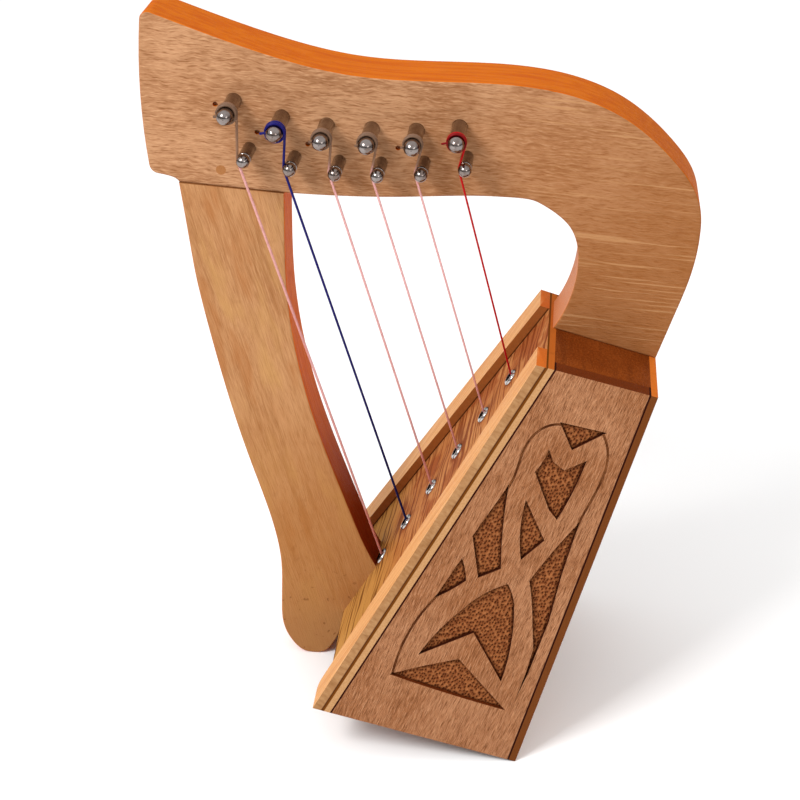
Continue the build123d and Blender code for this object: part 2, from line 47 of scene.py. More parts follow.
# The object's own directions: up and out of the soundboard, out of the near panel, out of the back
BOARD_ANGLE = math.radians(59.2)
UP_BOARD = Vector((math.cos(BOARD_ANGLE), 0, math.sin(BOARD_ANGLE)))
OUT_BOARD = Vector((-math.sin(BOARD_ANGLE), 0, math.cos(BOARD_ANGLE)))
SPLAY = math.atan2(58.3 - 29.1, 131.5)
NEAR_OUT = UP_BOARD * math.sin(SPLAY) + Vector((0, -math.cos(SPLAY), 0))
NEAR_ALONG = UP_BOARD * math.cos(SPLAY) + Vector((0, math.sin(SPLAY), 0))
FAR_OUT = Vector((NEAR_OUT.x, -NEAR_OUT.y, NEAR_OUT.z))
FAR_ALONG = Vector((NEAR_ALONG.x, -NEAR_ALONG.y, NEAR_ALONG.z))
BACK_OUT = Vector((0.95193, 0, -0.30633))
BACK_UP = Vector((0.30633, 0, 0.95193))
ACROSS = Vector((0, 1, 0))
UP = Vector((0, 0, 1))
RIGHT = Vector((1, 0, 0))


def mesh_points(name):
    """The CAD node's vertices, as an array."""
    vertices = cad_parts[name].data.vertices
    flat = np.zeros(len(vertices) * 3)
    vertices.foreach_get("co", flat)
    return flat.reshape(-1, 3)


def reach(name, direction):
    """How far the CAD node reaches along a direction: lowest and highest."""
    along = mesh_points(name) @ np.array(direction)
    return along.min(), along.max()


# Camera
camera = bpy.data.objects.new("camera", bpy.data.cameras.new("camera"))
bpy.context.scene.collection.objects.link(camera)
camera.data.lens = 83.35
camera.data.sensor_width = 36
camera.data.clip_start = 0.01
cam_right = Vector((0.99562, 0.09339, 0.00500))
cam_up = Vector((-0.04676, 0.45075, 0.89142))
cam_back = Vector((0.08100, -0.88775, 0.45314))
turned = Matrix((cam_right, cam_up, cam_back)).transposed().to_4x4()
camera.matrix_world = Matrix.Translation((0.04360, -0.54408, 0.38085)) @ turned
bpy.context.scene.camera = camera


# Materials
# This scene's light shows a surface this many times brighter than its own colour
LIGHT_GAIN = 1.3


def tone(red, green, blue):
    """A colour given as it looks under this scene's light, 0 to 255, as linear values."""
    share = [value / 255 for value in (red, green, blue)]
    linear = [c / 12.92 if c <= 0.04045 else ((c + 0.055) / 1.055) ** 2.4 for c in share]
    return [c / LIGHT_GAIN for c in linear] + [1.0]


SOCKETS = {
    "base_color": "Base Color", "metallic": "Metallic", "roughness": "Roughness",
    "specular": "Specular IOR Level", "alpha": "Alpha",
}


class Graph:
    """The node tree of one material. Its calls add a node and return what the node gives."""

    def __init__(self, name):
        self.material = bpy.data.materials.new(name)
        self.material.use_nodes = True
        self.tree = self.material.node_tree
        self.tree.nodes.clear()
        output = self.tree.nodes.new("ShaderNodeOutputMaterial")
        self.shader = self.tree.nodes.new("ShaderNodeBsdfPrincipled")
        self.tree.links.new(self.shader.outputs[0], output.inputs[0])
        coords = self.tree.nodes.new("ShaderNodeTexCoord")
        self.place = coords.outputs["Object"]
        self.normal = coords.outputs["Normal"]

    def put(self, socket, value):
        if isinstance(value, bpy.types.NodeSocket):
            self.tree.links.new(value, socket)
        else:
            socket.default_value = value

    def set(self, **values):
        """Sets the shader's sockets: base_color=..., roughness=..."""
        for key, value in values.items():
            self.put(self.shader.inputs[SOCKETS[key]], value)

    def math(self, operation, a, b=0.0):
        made = self.tree.nodes.new("ShaderNodeMath")
        made.operation = operation
        self.put(made.inputs[0], a)
        self.put(made.inputs[1], b)
        return made.outputs[0]

    def times(self, a, b):
        return self.math("MULTIPLY", a, b)

    def dot(self, vector, direction):
        made = self.tree.nodes.new("ShaderNodeVectorMath")
        made.operation = "DOT_PRODUCT"
        self.put(made.inputs[0], vector)
        self.put(made.inputs[1], direction)
        return made.outputs["Value"]

    def along(self, direction):
        """How far the point lies along a direction, in metres."""
        return self.dot(self.place, direction)

    def facing(self, direction):
        """1 where the surface faces a direction, -1 where it faces away."""
        return self.dot(self.normal, direction)

    def facing_either(self, direction):
        return self.math("ABSOLUTE", self.facing(direction))

    def distance(self, point):
        made = self.tree.nodes.new("ShaderNodeVectorMath")
        made.operation = "DISTANCE"
        self.put(made.inputs[0], self.place)
        made.inputs[1].default_value = point
        return made.outputs["Value"]

    def join(self, x, y, z):
        made = self.tree.nodes.new("ShaderNodeCombineXYZ")
        for socket, value in zip(made.inputs, (x, y, z)):
            self.put(socket, value)
        return made.outputs[0]

    def step(self, value, low, high, to_low=0.0, to_high=1.0):
        """A smooth change from to_low at low to to_high at high."""
        made = self.tree.nodes.new("ShaderNodeMapRange")
        made.interpolation_type = "SMOOTHSTEP"
        for socket, given in zip(made.inputs, (value, low, high, to_low, to_high)):
            self.put(socket, given)
        return made.outputs[0]

    def mix(self, factor, a, b):
        made = self.tree.nodes.new("ShaderNodeMix")
        made.data_type = "RGBA"
        self.put(made.inputs["Factor"], factor)
        self.put(made.inputs[6], a)
        self.put(made.inputs[7], b)
        return made.outputs[2]

    def noise(self, vector, scale, detail=2.0, roughness=0.5):
        made = self.tree.nodes.new("ShaderNodeTexNoise")
        self.put(made.inputs["Vector"], vector)
        self.put(made.inputs["Scale"], scale)
        self.put(made.inputs["Detail"], detail)
        self.put(made.inputs["Roughness"], roughness)
        return made.outputs[0]

    def bump(self, height, distance):
        made = self.tree.nodes.new("ShaderNodeBump")
        made.inputs["Distance"].default_value = distance
        self.put(made.inputs["Height"], height)
        self.put(self.shader.inputs["Normal"], made.outputs[0])

    def stretched(self, grain, across, length, width, wave=0.0, wave_size=0.01):
        """Object coordinates in grains of this length and width, bent by a slow wave. In metres."""
        side = self.along(across)
        deep = self.along(grain.cross(across))
        if wave:
            bend = self.noise(self.place, 1 / wave_size, 1.0)
            side = self.math("ADD", side, self.times(self.math("SUBTRACT", bend, 0.5), 2 * wave))
        run = self.math("DIVIDE", self.along(grain), length)
        return self.join(run, self.math("DIVIDE", side, width), self.math("DIVIDE", deep, width))


def wood(name, grain, across, pale, body, dark, fleck=(2.2, 0.42), wave=(0.5, 9.0),
         contrast=0.8, line=(60.0, 2.2), line_share=0.35, relief=0.2):
    """Oiled wood: slow changes of colour, long growth lines, and dark and pale flecks side by side.
    fleck and line give a length and a width, wave a height and a length, relief a depth, all in mm.
    Returns the graph and the colour, so that a caller can add marks before closing it."""
    graph = Graph(name)
    broad = graph.noise(graph.place, 38.0)
    colour = graph.mix(graph.step(broad, 0.34, 0.66, 0.0, 0.5), body, pale)
    wave_high, wave_long = wave[0] * MM, wave[1] * MM
    line_long, line_wide = line[0] * MM, line[1] * MM
    lines = graph.stretched(grain, across, line_long, line_wide, wave_high * 2.5, wave_long * 3)
    growth = graph.noise(lines, 1.0, 3.0, 0.6)
    colour = graph.mix(graph.step(growth, 0.48, 0.7, 0.0, line_share), colour, dark)
    short = graph.stretched(grain, across, fleck[0] * MM, fleck[1] * MM, wave_high, wave_long)
    flecks = graph.noise(short, 1.0, 2.5, 0.6)
    colour = graph.mix(graph.step(flecks, 0.52, 0.28, 0.0, contrast), colour, dark)
    colour = graph.mix(graph.step(flecks, 0.50, 0.70, 0.0, contrast), colour, pale)
    graph.set(roughness=graph.step(flecks, 0.3, 0.7, 0.62, 0.46), specular=0.035)
    fine = graph.noise(graph.stretched(grain, across, 0.0012, 0.00012), 1.0, 1.0)
    graph.bump(graph.math("ADD", flecks, graph.times(fine, 0.3)), relief * MM)
    return graph, colour


def close(graph, colour):
    """Puts the colour on the shader, warmed a little all over as oil does."""
    warm = graph.tree.nodes.new("ShaderNodeMix")
    warm.data_type = "RGBA"
    warm.blend_type = "MULTIPLY"
    warm.inputs["Factor"].default_value = 1.0
    graph.put(warm.inputs[6], colour)
    graph.put(warm.inputs[7], (0.97, 0.93, 0.78, 1.0))
    graph.set(base_color=warm.outputs[2])
    return graph.material


def wear(graph, colour, share):
    """Fine uneven darkening, as handling leaves on oiled wood."""
    patches = graph.noise(graph.place, 240.0, 4.0, 0.65)
    return graph.mix(graph.times(graph.step(patches, 0.55, 0.75), share), colour, tone(120, 62, 30))


def face_of(graph, axis):
    """1 on faces square to the axis, 0 on the edges."""
    return graph.step(graph.facing_either(axis), 0.55, 0.8)


def neck_wood():
    grain = Vector((1, 0, -0.07)).normalized()
    up = Vector((0.07, 0, 1)).normalized()
    graph, colour = wood(
        "neck_oiled", grain, up, tone(216, 168, 136), tone(184, 134, 102), tone(140, 90, 58),
        fleck=(3.4, 0.46), wave=(0.9, 5.5), contrast=0.74, line=(30.0, 2.4), line_share=0.4)
    # The foot is darker and redder than the arm
    toward_foot = graph.along(Vector((0.55, 0, -0.83)).normalized())
    colour = graph.mix(graph.step(toward_foot, -0.19, -0.075, 0.0, 0.75), colour, tone(158, 96, 48))
    # Pale rays run along its right half
    ray_grain = (grain - up * 0.06).normalized()
    rays = graph.noise(graph.stretched(ray_grain, up, 0.05, 0.0010, 0.0010, 0.03), 1.0)
    right = graph.step(graph.along(RIGHT), 0.01, 0.05, 0.0, 0.6)
    pale_rays = graph.times(graph.step(rays, 0.56, 0.68), right)
    colour = graph.mix(pale_rays, colour, tone(206, 156, 116))
    # The sawn edges soak up more oil
    edge_lines = graph.noise(graph.stretched(grain, ACROSS, 0.05, 0.0018), 1.0, 3.0, 0.6)
    edge = graph.mix(graph.step(edge_lines, 0.35, 0.7), tone(219, 115, 16), tone(205, 96, 8))
    inner = graph.step(graph.facing(Vector((-1, 0, -0.2)).normalized()), 0.5, 0.85)
    by_foot = graph.step(graph.along(RIGHT), 0.0, 0.03)
    edge = graph.mix(graph.times(inner, by_foot), edge, tone(222, 150, 116))
    colour = graph.mix(face_of(graph, ACROSS), edge, colour)
    return close(graph, wear(graph, colour, 0.12))


def pillar_wood():
    grain = Vector((0.27, 0, -0.96)).normalized()
    side = Vector((0.96, 0, 0.27)).normalized()
    graph, colour = wood(
        "pillar_oiled", grain, side, tone(214, 164, 124), tone(190, 138, 100), tone(156, 104, 64),
        fleck=(5.5, 0.42), wave=(0.4, 12.0), contrast=0.5, line=(60.0, 2.6), line_share=0.5)
    height = graph.along(UP)
    cloud = graph.noise(graph.stretched(grain, side, 0.05, 0.014), 1.0, 3.0, 0.6)
    colour = graph.mix(graph.step(cloud, 0.5, 0.66, 0.0, 0.6), colour, tone(176, 112, 66))
    colour = graph.mix(graph.step(cloud, 0.5, 0.34, 0.0, 0.6), colour, tone(206, 158, 106))
    colour = graph.mix(graph.step(height, 0.12, 0.04, 0.0, 0.55), colour, tone(178, 118, 62))
    colour = graph.mix(graph.step(height, 0.032, 0.008, 0.0, 0.6), colour, tone(176, 124, 84))
    # Dark spots near the toe
    spots = graph.noise(graph.place, 780.0, 0.0)
    low_down = graph.step(height, 0.05, 0.015)
    spot_mask = graph.times(graph.step(spots, 0.77, 0.81), graph.times(low_down, 0.6))
    colour = graph.mix(spot_mask, colour, tone(118, 66, 36))
    # The edges are oranger, with painted shade low down on the strings' side by the soundboard, and
    # duller on top by the joint
    edge_lines = graph.noise(graph.stretched(grain, ACROSS, 0.06, 0.0016), 1.0, 3.0, 0.6)
    edge = graph.mix(graph.step(edge_lines, 0.35, 0.7), tone(246, 126, 34), tone(230, 104, 22))
    # Painted shade on the inner edge low down, where it meets the soundboard
    deep = graph.step(height, 0.12, 0.045)
    inner = graph.step(graph.facing(Vector((0.9, 0, 0.4)).normalized()), 0.3, 0.7)
    edge = graph.mix(graph.times(graph.times(deep, inner), 0.9), edge, tone(116, 18, 0))
    crease = graph.times(graph.step(height, 0.165, 0.17), graph.step(graph.facing(UP), 0.6, 0.9))
    edge = graph.mix(crease, edge, tone(158, 104, 64))
    colour = graph.mix(face_of(graph, ACROSS), edge, colour)
    return close(graph, wear(graph, colour, 0.15))


def soundboard_wood():
    grain = (UP_BOARD * 0.15 + ACROSS).normalized()
    side = OUT_BOARD.cross(grain).normalized()
    graph = Graph("soundboard_oiled")
    broad = graph.noise(graph.place, 30.0)
    colour = graph.mix(graph.step(broad, 0.35, 0.65), tone(198, 126, 76), tone(214, 150, 100))
    up = graph.along(UP_BOARD)
    low = reach("soundboard", UP_BOARD)[0]
    colour = graph.mix(graph.step(up, low + 0.05, low + 0.02, 0.0, 0.7), colour, tone(206, 154, 84))
    # Red stains all over but the foot
    stain = graph.noise(graph.place, 70.0, 3.0, 0.6)
    middle = graph.step(up, low + 0.02, low + 0.05, 0.0, 0.6)
    stained = graph.times(graph.step(stain, 0.48, 0.64), middle)
    colour = graph.mix(stained, colour, tone(152, 62, 28))
    # Oil gathers round each grommet
    uneven = graph.times(graph.noise(graph.place, 500.0), 0.003)
    for number in range(1, 7):
        lowest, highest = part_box(f"grommet_{number}")
        away = graph.math("ADD", graph.distance((lowest + highest) / 2), uneven)
        colour = graph.mix(graph.step(away, 0.0076, 0.0050, 0.0, 0.65), colour, tone(120, 40, 16))
    # Growth rings, and thinner lines between them
    rings = graph.noise(graph.stretched(grain, side, 0.046, 0.0015, 0.0026, 0.016), 1.0, 1.5)
    line_tone = graph.mix(middle, tone(104, 54, 16), tone(146, 62, 30))
    colour = graph.mix(graph.step(rings, 0.50, 0.60, 0.0, 0.85), colour, line_tone)
    thin = graph.noise(graph.stretched(grain, side, 0.02, 0.0004, 0.0008, 0.012), 1.0)
    colour = graph.mix(graph.step(thin, 0.5, 0.75, 0.0, 0.45), colour, tone(134, 70, 30))
    # The board's edges are bare, orange at its upper end, with a dark line at the top face
    edge = graph.mix(graph.step(thin, 0.4, 0.6, 0.0, 0.5), tone(206, 160, 120), tone(182, 134, 92))
    edge = graph.mix(graph.step(graph.facing(UP_BOARD), 0.75, 0.9), edge, tone(196, 106, 44))
    top = reach("soundboard", OUT_BOARD)[1]
    rim = graph.step(graph.along(OUT_BOARD), top - 0.0007, top - 0.0005)
    edge = graph.mix(rim, edge, tone(116, 66, 24))
    colour = graph.mix(face_of(graph, OUT_BOARD), edge, colour)
    graph.set(roughness=graph.step(rings, 0.4, 0.6, 0.66, 0.56), specular=0.01)
    graph.bump(graph.math("ADD", rings, graph.times(thin, 0.5)), 0.00012)
    return close(graph, wear(graph, colour, 0.2))


def rail_wood():
    graph, colour = wood(
        "rail_oiled", UP_BOARD, OUT_BOARD,
        tone(202, 160, 122), tone(178, 132, 94), tone(146, 100, 64),
        fleck=(1.0, 2.6), wave=(0.2, 6.0), contrast=0.4, line=(2.2, 14.0), line_share=0.4)
    top = graph.step(graph.facing(OUT_BOARD), 0.3, 0.75)
    lines = graph.noise(graph.stretched(UP_BOARD, ACROSS, 0.03, 0.0007), 1.0)
    peach = graph.mix(graph.step(lines, 0.35, 0.7), tone(246, 188, 136), tone(228, 160, 106))
    colour = graph.mix(top, colour, peach)
    end = graph.step(graph.facing(UP_BOARD), 0.5, 0.85)
    colour = graph.mix(end, colour, tone(214, 112, 44))
    # Its inner side, which faces the strings, is darker
    outward = graph.times(graph.facing(ACROSS), graph.math("SIGN", graph.along(ACROSS)))
    colour = graph.mix(graph.step(outward, -0.5, -0.9, 0.0, 0.9), colour, tone(164, 92, 42))
    # A dark line of glue under the rail
    low = reach("rail_near", OUT_BOARD)[0]
    seam = graph.step(graph.along(OUT_BOARD), low + 0.0006, low + 0.0003)
    glue = graph.times(seam, graph.step(graph.math("ABSOLUTE", outward), 0.5, 0.9))
    colour = graph.mix(glue, colour, tone(92, 50, 22))
    return close(graph, wear(graph, colour, 0.1))


def panel_wood(name, along, out, node):
    down = out.cross(along).normalized()
    lean = 0.15 if out.y < 0 else -0.15
    grain = (along + down * lean).normalized()
    across = out.cross(grain).normalized()
    graph, colour = wood(
        name, grain, across, tone(208, 152, 120), tone(170, 112, 78), tone(124, 74, 46),
        fleck=(3.0, 0.29), wave=(0.2, 4.0), contrast=0.88, line=(40.0, 6.0), line_share=0.1,
        relief=0.6)
    # The cut wood has a tone of its own, with painted shade that deepens with depth, darkest in the
    # punch marks and on the walls, and a painted highlight on the crests between the marks
    surface = reach(node, out)[1]
    depth = graph.along(out)
    grit = graph.noise(graph.place, 900.0)
    cut_tone_with_painted_light = graph.mix(graph.step(grit, 0.35, 0.65), tone(148, 84, 50), tone(178, 110, 68))
    # Painted shade at the bottom of the punch marks
    pit_shade = graph.step(depth, surface - 0.0014, surface - 0.00185)
    cut_tone_with_painted_light = graph.mix(pit_shade, cut_tone_with_painted_light, tone(94, 42, 22))
    # Painted highlight on the crests between the punch marks
    crest_highlight = graph.step(depth, surface - 0.0013, surface - 0.0011, 0.0, 0.4)
    on_floor = graph.step(graph.facing_either(out), 0.4, 0.7)
    cut_tone_with_painted_light = graph.mix(graph.times(crest_highlight, on_floor), cut_tone_with_painted_light, tone(204, 138, 94))
    # Painted shade on the hollow's walls
    wall_shade = graph.step(graph.facing_either(out), 0.35, 0.15)
    cut_tone_with_painted_light = graph.mix(wall_shade, cut_tone_with_painted_light, tone(70, 26, 12))
    shallow = graph.step(depth, surface - 0.0036, surface - 0.0030)
    cut = graph.times(graph.step(depth, surface - 0.00008, surface - 0.0003), shallow)
    colour = graph.mix(cut, colour, cut_tone_with_painted_light)
    # The incised lines are shallow and painted dark as shade, fading in and out; the same band
    # paints shade along the top of each hollow's wall
    groove = graph.step(depth, surface - 0.00015, surface - 0.00035)
    groove = graph.times(groove, graph.step(depth, surface - 0.0010, surface - 0.0007))
    fading = graph.step(graph.noise(graph.place, 110.0), 0.38, 0.62, 0.15, 0.85)
    colour = graph.mix(graph.times(groove, fading), colour, tone(98, 48, 26))
    ends = graph.step(graph.facing(UP_BOARD), 0.75, 0.9)
    colour = graph.mix(ends, colour, tone(128, 58, 22))
    # Painted shade in the step where the panel meets the soundboard, and a dark glue line along the
    # back
    height = graph.along(OUT_BOARD)
    board_high = reach(node, OUT_BOARD)[1]
    # Painted shade along the panel's top, in the step under the soundboard
    front_seam_shade = graph.step(height, board_high - 0.0007, board_high - 0.0005)
    colour = graph.mix(front_seam_shade, colour, tone(56, 16, 8))
    back = graph.along(BACK_OUT)
    back_high = reach(node, BACK_OUT)[1]
    back_seam = graph.step(back, back_high - 0.0007, back_high - 0.0005)
    colour = graph.mix(back_seam, colour, tone(50, 14, 6))
    return close(graph, wear(graph, colour, 0.16))


def plain_wood(*given, **options):
    """Wood with no marks of its own. Takes what wood() takes."""
    graph, colour = wood(*given, **options)
    return close(graph, wear(graph, colour, 0.2))


def back_wood():
    graph, colour = wood(
        "back_oiled", BACK_UP, ACROSS, tone(196, 134, 84), tone(170, 106, 58), tone(118, 66, 32),
        fleck=(3.0, 0.4), wave=(0.4, 12.0), contrast=0.6, line=(70.0, 2.4), line_share=0.45)
    colour = graph.mix(face_of(graph, BACK_OUT), tone(118, 66, 32), colour)
    top = graph.step(graph.facing(BACK_UP), 0.6, 0.9)
    colour = graph.mix(top, colour, tone(226, 122, 44))
    return close(graph, wear(graph, colour, 0.2))


def block_wood():
    graph, colour = wood(
        "block_oiled", ACROSS, UP_BOARD.cross(ACROSS),
        tone(166, 86, 36), tone(126, 58, 18), tone(84, 34, 10),
        fleck=(1.0, 0.5), wave=(0.4, 5.0), contrast=0.4, line=(30.0, 3.0), line_share=0.4)
    return close(graph, wear(graph, colour, 0.3))


def metal(name, colour, tarnish, rough):
    """Turned metal with fine rings round the pin's axis, tarnished in patches."""
    graph = Graph(name)
    smudge = graph.noise(graph.place, 350.0, 3.0, 0.6)
    rings = graph.join(graph.along(RIGHT * 60), graph.along(ACROSS * 9000), graph.along(UP * 60))
    turned = graph.noise(rings, 1.0, 1.0)
    shade = graph.mix(graph.step(smudge, 0.4, 0.7, 0.0, 0.7), colour, tarnish)
    graph.set(base_color=shade, metallic=1.0)
    graph.set(roughness=graph.step(smudge, 0.3, 0.7, rough, rough + 0.1))
    graph.bump(turned, 0.00002)
    return graph.material


def grommet_metal(number):
    """Polished nickel, with a painted highlight on one side of the ring, and painted shade on the
    other side and in the bore.
    """
    graph = Graph(f"grommet_nickel_{number}")
    name = f"grommet_{number}"
    middle = UP_BOARD * (sum(reach(name, UP_BOARD)) / 2) + ACROSS * (sum(reach(name, ACROSS)) / 2)
    along = graph.math("SUBTRACT", graph.along(UP_BOARD), middle.dot(UP_BOARD))
    sideways = graph.math("SUBTRACT", graph.along(ACROSS), middle.dot(ACROSS))
    squared = graph.math("ADD", graph.times(along, along), graph.times(sideways, sideways))
    # Painted shade in the bore
    bore_shade = graph.step(graph.math("SQRT", squared), 0.0023, 0.0018)
    smudge = graph.noise(graph.place, 350.0, 3.0, 0.6)
    # A painted highlight on one side of the lip and painted shade on the other
    lip = graph.mix(graph.step(sideways, -0.0014, 0.0008), tone(208, 204, 200), tone(62, 52, 48))
    graph.set(base_color=graph.mix(bore_shade, lip, tone(22, 14, 12)), metallic=1.0)
    graph.set(roughness=graph.step(smudge, 0.3, 0.7, 0.10, 0.18))
    return graph.material


def nylon(name, colour, dark, specular, alpha=1.0, wound=None):
    """A string's nylon, darker low down. A wound colour takes over above the bridge pins."""
    graph = Graph(name)
    streak = graph.noise(graph.place, 900.0)
    height = graph.along(UP)
    shade = graph.mix(graph.step(height, 0.05, 0.16), dark, colour)
    shade = graph.mix(graph.step(streak, 0.35, 0.65, 0.0, 0.3), shade, dark)
    if wound:
        shade = graph.mix(graph.step(height, 0.184, 0.190), shade, wound)
    graph.set(base_color=shade, roughness=graph.step(streak, 0.3, 0.7, 0.32, 0.44))
    graph.set(specular=specular, alpha=alpha)
    graph.bump(streak, 0.00001)
    return graph.material


finishes = {
    "neck": neck_wood(),
    "pillar": pillar_wood(),
    "soundboard": soundboard_wood(),
    "rail": rail_wood(),
    "panel_near": panel_wood("panel_near_oiled", NEAR_ALONG, NEAR_OUT, "side_panel_near"),
    "panel_far": panel_wood("panel_far_oiled", FAR_ALONG, FAR_OUT, "side_panel_far"),
    "back": back_wood(),
    "block": block_wood(),
    "inner": plain_wood(
        "inner_bare", UP_BOARD, ACROSS, tone(206, 158, 110), tone(182, 128, 80), tone(132, 82, 44)),
    "plug": plain_wood(
        "plug_oiled", UP, RIGHT, tone(186, 130, 88), tone(176, 118, 76), tone(150, 94, 56),
        fleck=(0.6, 0.2), contrast=0.4),
    "pin": metal("pin_nickel", tone(156, 146, 142), tone(116, 94, 82), rough=0.09),
    "screw": metal("screw_zinc", tone(176, 170, 156), tone(140, 128, 102), rough=0.3),
    "clear": nylon("nylon_clear", tone(246, 184, 182), tone(212, 130, 116), 0.15,
                   alpha=0.72, wound=tone(150, 112, 88)),
    "clear_wound": nylon("nylon_glassy", tone(122, 92, 72), tone(100, 74, 56), 0.2),
    "blue": nylon("nylon_blue", tone(26, 22, 104), tone(12, 10, 64), 0.12),
    "red": nylon("nylon_red", tone(190, 12, 16), tone(150, 6, 10), 0.08),
    "red_wound": nylon("nylon_red_wound", tone(132, 8, 12), tone(92, 4, 8), 0.1),
}
finishes.update({f"grommet_{number}": grommet_metal(number) for number in range(1, 7)})
STRING_FINISH = ["clear", "blue", "clear", "clear", "clear", "red"]
WINDING_FINISH = {"clear": "clear_wound", "blue": "blue", "red": "red_wound"}
NODE_FINISH = {
    "neck": "neck", "neck_plug": "plug", "neck_pillar_dowels": "inner", "neck_foot_dowels": "inner",
    "pillar": "pillar", "pillar_block": "inner", "pillar_screws": "screw",
    "soundboard": "soundboard", "rail_near": "rail", "rail_far": "rail", "string_rib": "inner",
    "side_panel_near": "panel_near", "side_panel_far": "panel_far", "back_panel": "back",
    "top_block": "block", "bottom_block": "block",
}


def finish_of(name):
    if name in NODE_FINISH:
        return NODE_FINISH[name]
    if name.startswith("lining"):
        return "inner"
    if name.startswith("grommet"):
        return name
    if name.startswith(("tuning_pin", "bridge_pin")):
        return "pin"
    return STRING_FINISH[int(name[-1]) - 1]


# Sanded corners on the straight boards. The weld joins the CAD mesh's faces, or no edge would bevel
for name in ("rail_near", "rail_far", "back_panel", "top_block", "bottom_block"):
    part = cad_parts[name]
    weld = part.modifiers.new("weld", "WELD")
    weld.merge_threshold = 0.005 * MM
    round_off = part.modifiers.new("sanded", "BEVEL")
    round_off.width = 0.35 * MM
    round_off.segments = 3
    round_off.limit_method = "ANGLE"
    round_off.angle_limit = math.radians(35)

for name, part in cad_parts.items():
    for material_slot in part.material_slots:
        material_slot.material = finishes[finish_of(name)]


# New pieces
TUBE_SIDES = 14
CORNER_STEPS = 12
STILL_STEPS, WINDING_STEPS, KNOT_STEPS = 48, 120, 72


def add_piece(name, vertices, faces, finish, body, slot):
    data = bpy.data.meshes.new(name)
    data.from_pydata([tuple(v) for v in vertices], [], [tuple(int(i) for i in f) for f in faces])
    data.materials.append(finishes[finish])
    data.shade_smooth()
    data.update()
    made = bpy.data.objects.new(name, data)
    bpy.context.scene.collection.objects.link(made)
    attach(made, body)
    return made


def tube(points, radius):
    """Vertices and faces of a round tube with flat ends that follows the points."""
    sides = TUBE_SIDES
    start = (points[1] - points[0]).normalized()
    side = start.orthogonal().normalized()
    vertices, faces, before = [], [], start
    for index, point in enumerate(points):
        last = min(index + 1, len(points) - 1)
        first = max(index - 1, 0)
        here = (points[last] - points[first]).normalized()
        side = before.rotation_difference(here) @ side
        side = (side - here * side.dot(here)).normalized()
        other = here.cross(side)
        before = here
        for step in range(sides):
            angle = 2 * math.pi * step / sides
            vertices.append(point + (side * math.cos(angle) + other * math.sin(angle)) * radius)
    for ring in range(len(points) - 1):
        for step in range(sides):
            a, b = ring * sides + step, ring * sides + (step + 1) % sides
            faces.append((a, b, b + sides, a + sides))
    faces.append(tuple(range(sides - 1, -1, -1)))
    faces.append(tuple(range((len(points) - 1) * sides, len(points) * sides)))
    return vertices, faces


def joined(first, second):
    """Two pieces of geometry as one."""
    shift = len(first[0])
    return first[0] + second[0], first[1] + [tuple(i + shift for i in face) for face in second[1]]


def rounded_corner(before, corner, after, radius):
    """Points of the arc that rounds a corner between two straight runs."""
    first, second = (before - corner).normalized(), (after - corner).normalized()
    half = first.angle(second) / 2
    centre = corner + (first + second).normalized() * radius / math.sin(half)
    begin = corner + first * radius / math.tan(half) - centre
    end = corner + second * radius / math.tan(half) - centre
    turn = begin.angle(end)
    return [
        centre + (begin * math.sin(turn * (1 - t)) + end * math.sin(turn * t)) / math.sin(turn)
        for t in (step / CORNER_STEPS for step in range(CORNER_STEPS + 1))
    ]


def tangent_line(start, end):
    """The line that touches two circles (x, z, radius): its direction and its touching points."""
    run_x, run_z = end[0] - start[0], end[1] - start[1]
    angle = math.atan2(run_z, run_x) - math.asin((end[2] - start[2]) / math.hypot(run_x, run_z))
    left = (-math.sin(angle), math.cos(angle))
    touches = [(c[0] - c[2] * left[0], c[1] - c[2] * left[1]) for c in (start, end)]
    return (math.cos(angle), math.sin(angle)), touches


def meeting(line_a, line_b):
    """Where two of those lines cross."""
    (ax, az), ((px, pz), _) = line_a
    (bx, bz), ((qx, qz), _) = line_b
    t = ((qx - px) * bz - (qz - pz) * bx) / (ax * bz - az * bx)
    return px + t * ax, pz + t * az


def middle_of(name):
    """The middle of the CAD node's box."""
    low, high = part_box(name)
    return [(a + b) / 2 for a, b in zip(low, high)]


def board_point(up, out):
    """The x and z of a place given by how far up and how far out of the soundboard it lies."""
    spot = UP_BOARD * up + OUT_BOARD * out
    return spot.x, spot.z


# Each string stands still. It runs from a knot under the soundboard over the grommet's lip and
# through the bridge pin's groove, and most of the way round the tuning pin. The winding turns
# with the pin.
DIAMETERS = [0.86, 0.82, 0.78, 0.74, 0.70, 0.66]
GAP = 0.03 * MM
PIN_RADIUS = 2.5 * MM
BRIDGE_RADIUS, GROOVE_DEPTH, GROOVE_FROM_END = 2.1 * MM, 0.55 * MM, 3.8 * MM
LIP_ROUND, LIP_FROM_MIDDLE = 0.85 * MM, 2.15 * MM
KNOT_LOOP, KNOT_DEPTH = 0.42 * MM, 0.6 * MM
STILL_TURN = 1.75 * math.pi
WINDING_TURNS = 1.55


